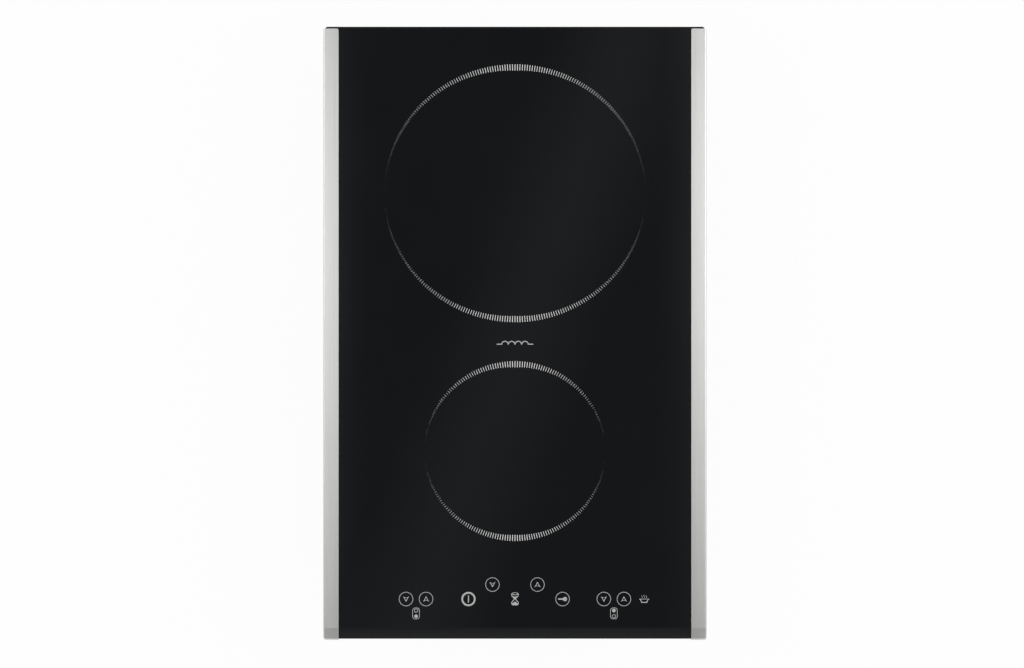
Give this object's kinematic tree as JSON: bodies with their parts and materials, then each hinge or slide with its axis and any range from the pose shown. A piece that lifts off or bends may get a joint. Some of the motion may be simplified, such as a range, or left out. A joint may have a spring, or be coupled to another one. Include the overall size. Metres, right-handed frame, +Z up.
{
  "type": "induction cooktop",
  "caption": "Built-in induction cooktop: black glass with a bevelled front between steel side trims, over a pan with coils, boards, a blower and worktop clamps.",
  "frame": {"origin": "middle of the object in plan, level with the underside of the pan", "axes": "+Z up out of the glass, +Y to the back, +X to the right seen from the front"},
  "size_m": [0.31, 0.496, 0.0574],
  "materials": {
    "black_glass": "polished black glass ceramic",
    "trim_steel": "brushed, grain along the trim",
    "seal_foam": "matt foam strip",
    "silicone": "matt silicone bead",
    "galvanised_steel": "galvanised sheet",
    "zinc_steel": "bright zinc plate",
    "spring_steel": "zinc plated strip",
    "aluminium_sheet": "mill finish",
    "copper_litz": "enamelled copper strand",
    "ferrite": "sintered, matt",
    "mica": "mica sheet",
    "former_plastic": "glass-filled moulding",
    "sensor_body": "white ceramic-filled moulding",
    "circuit_board": "green solder resist",
    "tray_plastic": "natural moulding",
    "package_epoxy": "black epoxy",
    "capacitor_case": "yellow case",
    "blower_plastic": "black moulding",
    "bearing_bronze": "sintered bronze",
    "contact_rubber": "conductive foam",
    "display_face": "dark red filter",
    "cable_sleeve": "grey sleeve",
    "terminal_plastic": "white moulding",
    "gland_plastic": "black moulding"
  },
  "bodies": {
    "cooktop": {"glass_plate": "black_glass", "trim_left": "trim_steel", "trim_right": "trim_steel", "worktop_seal": "seal_foam", "glass_bond": "silicone", "glass_frame": "galvanised_steel", "base_pan": "galvanised_steel", "pan_screws": "zinc_steel", "clamp_brackets": "galvanised_steel", "coil_plate": "aluminium_sheet", "plate_brackets": "galvanised_steel", "board_tray": "tray_plastic", "power_board": "circuit_board", "heat_sink": "aluminium_sheet", "power_transistors": "package_epoxy", "film_capacitors": "capacitor_case", "filter_choke": "copper_litz", "blower_housing": "blower_plastic", "blower_cover": "blower_plastic", "blower_motor": "package_epoxy", "blower_bearing": "bearing_bronze", "control_tray": "tray_plastic", "control_board": "circuit_board", "touch_contacts": "contact_rubber", "level_displays": "display_face", "buzzer": "package_epoxy", "ribbon_cable": "cable_sleeve", "cable_gland": "gland_plastic", "cable_clamp": "terminal_plastic", "terminal_block": "terminal_plastic", "coil_former_large": "former_plastic", "coil_winding_large": "copper_litz", "ferrite_bars_large": "ferrite", "mica_sheet_large": "mica", "temperature_sensor_large": "sensor_body", "coil_leads_large": "cable_sleeve", "coil_former_small": "former_plastic", "coil_winding_small": "copper_litz", "ferrite_bars_small": "ferrite", "mica_sheet_small": "mica", "temperature_sensor_small": "sensor_body", "coil_leads_small": "cable_sleeve"},
    "blower_rotor": {"blower_impeller": "blower_plastic", "blower_shaft": "zinc_steel"},
    "clamp_washer_front_left": {"clamp_washer_front_left": "zinc_steel"},
    "clamp_screw_front_left": {"clamp_screw_front_left": "zinc_steel"},
    "clamp_tab_front_left": {"clamp_tab_front_left": "spring_steel"},
    "clamp_washer_front_right": {"clamp_washer_front_right": "zinc_steel"},
    "clamp_screw_front_right": {"clamp_screw_front_right": "zinc_steel"},
    "clamp_tab_front_right": {"clamp_tab_front_right": "spring_steel"},
    "clamp_washer_rear_left": {"clamp_washer_rear_left": "zinc_steel"},
    "clamp_screw_rear_left": {"clamp_screw_rear_left": "zinc_steel"},
    "clamp_tab_rear_left": {"clamp_tab_rear_left": "spring_steel"},
    "clamp_washer_rear_right": {"clamp_washer_rear_right": "zinc_steel"},
    "clamp_screw_rear_right": {"clamp_screw_rear_right": "zinc_steel"},
    "clamp_tab_rear_right": {"clamp_tab_rear_right": "spring_steel"}
  },
  "joints": [
    {"name": "blower_spin", "type": "hinge", "parent": "cooktop", "child": "blower_rotor", "pos_m": [0.06205, 0.1811, 0.0139], "axis": [0, 0, 1], "continuous": true},
    {"name": "clamp_lift_front_left", "type": "slide", "parent": "cooktop", "child": "clamp_washer_front_left", "axis": [0, 0, 1], "range_m": [0, 0.01989]},
    {"name": "clamp_turn_front_left", "type": "hinge", "parent": "clamp_washer_front_left", "child": "clamp_screw_front_left", "pos_m": [-0.13365, -0.13953, 0.0031], "axis": [0, 0, 1], "range_deg": [0, 8951]},
    {"name": "clamp_swing_front_left", "type": "hinge", "parent": "clamp_washer_front_left", "child": "clamp_tab_front_left", "pos_m": [-0.13365, -0.13953, 0.0042], "axis": [0, 0, 1], "range_deg": [0, 90]},
    {"name": "clamp_lift_front_right", "type": "slide", "parent": "cooktop", "child": "clamp_washer_front_right", "axis": [0, 0, 1], "range_m": [0, 0.01989]},
    {"name": "clamp_turn_front_right", "type": "hinge", "parent": "clamp_washer_front_right", "child": "clamp_screw_front_right", "pos_m": [0.13365, -0.13953, 0.0031], "axis": [0, 0, 1], "range_deg": [0, 8951]},
    {"name": "clamp_swing_front_right", "type": "hinge", "parent": "clamp_washer_front_right", "child": "clamp_tab_front_right", "pos_m": [0.13365, -0.13953, 0.0042], "axis": [0, 0, -1], "range_deg": [0, 90]},
    {"name": "clamp_lift_rear_left", "type": "slide", "parent": "cooktop", "child": "clamp_washer_rear_left", "axis": [0, 0, 1], "range_m": [0, 0.01989]},
    {"name": "clamp_turn_rear_left", "type": "hinge", "parent": "clamp_washer_rear_left", "child": "clamp_screw_rear_left", "pos_m": [-0.13365, 0.14047, 0.0031], "axis": [0, 0, 1], "range_deg": [0, 8951]},
    {"name": "clamp_swing_rear_left", "type": "hinge", "parent": "clamp_washer_rear_left", "child": "clamp_tab_rear_left", "pos_m": [-0.13365, 0.14047, 0.0042], "axis": [0, 0, -1], "range_deg": [0, 90]},
    {"name": "clamp_lift_rear_right", "type": "slide", "parent": "cooktop", "child": "clamp_washer_rear_right", "axis": [0, 0, 1], "range_m": [0, 0.01989]},
    {"name": "clamp_turn_rear_right", "type": "hinge", "parent": "clamp_washer_rear_right", "child": "clamp_screw_rear_right", "pos_m": [0.13365, 0.14047, 0.0031], "axis": [0, 0, 1], "range_deg": [0, 8951]},
    {"name": "clamp_swing_rear_right", "type": "hinge", "parent": "clamp_washer_rear_right", "child": "clamp_tab_rear_right", "pos_m": [0.13365, 0.14047, 0.0042], "axis": [0, 0, 1], "range_deg": [0, 90]}
  ],
  "couplings": [
    {"joint": "clamp_turn_front_left", "follows": "clamp_lift_front_left", "rad_per_m": 7854},
    {"joint": "clamp_turn_front_right", "follows": "clamp_lift_front_right", "rad_per_m": 7854},
    {"joint": "clamp_turn_rear_left", "follows": "clamp_lift_rear_left", "rad_per_m": 7854},
    {"joint": "clamp_turn_rear_right", "follows": "clamp_lift_rear_right", "rad_per_m": 7854}
  ]
}
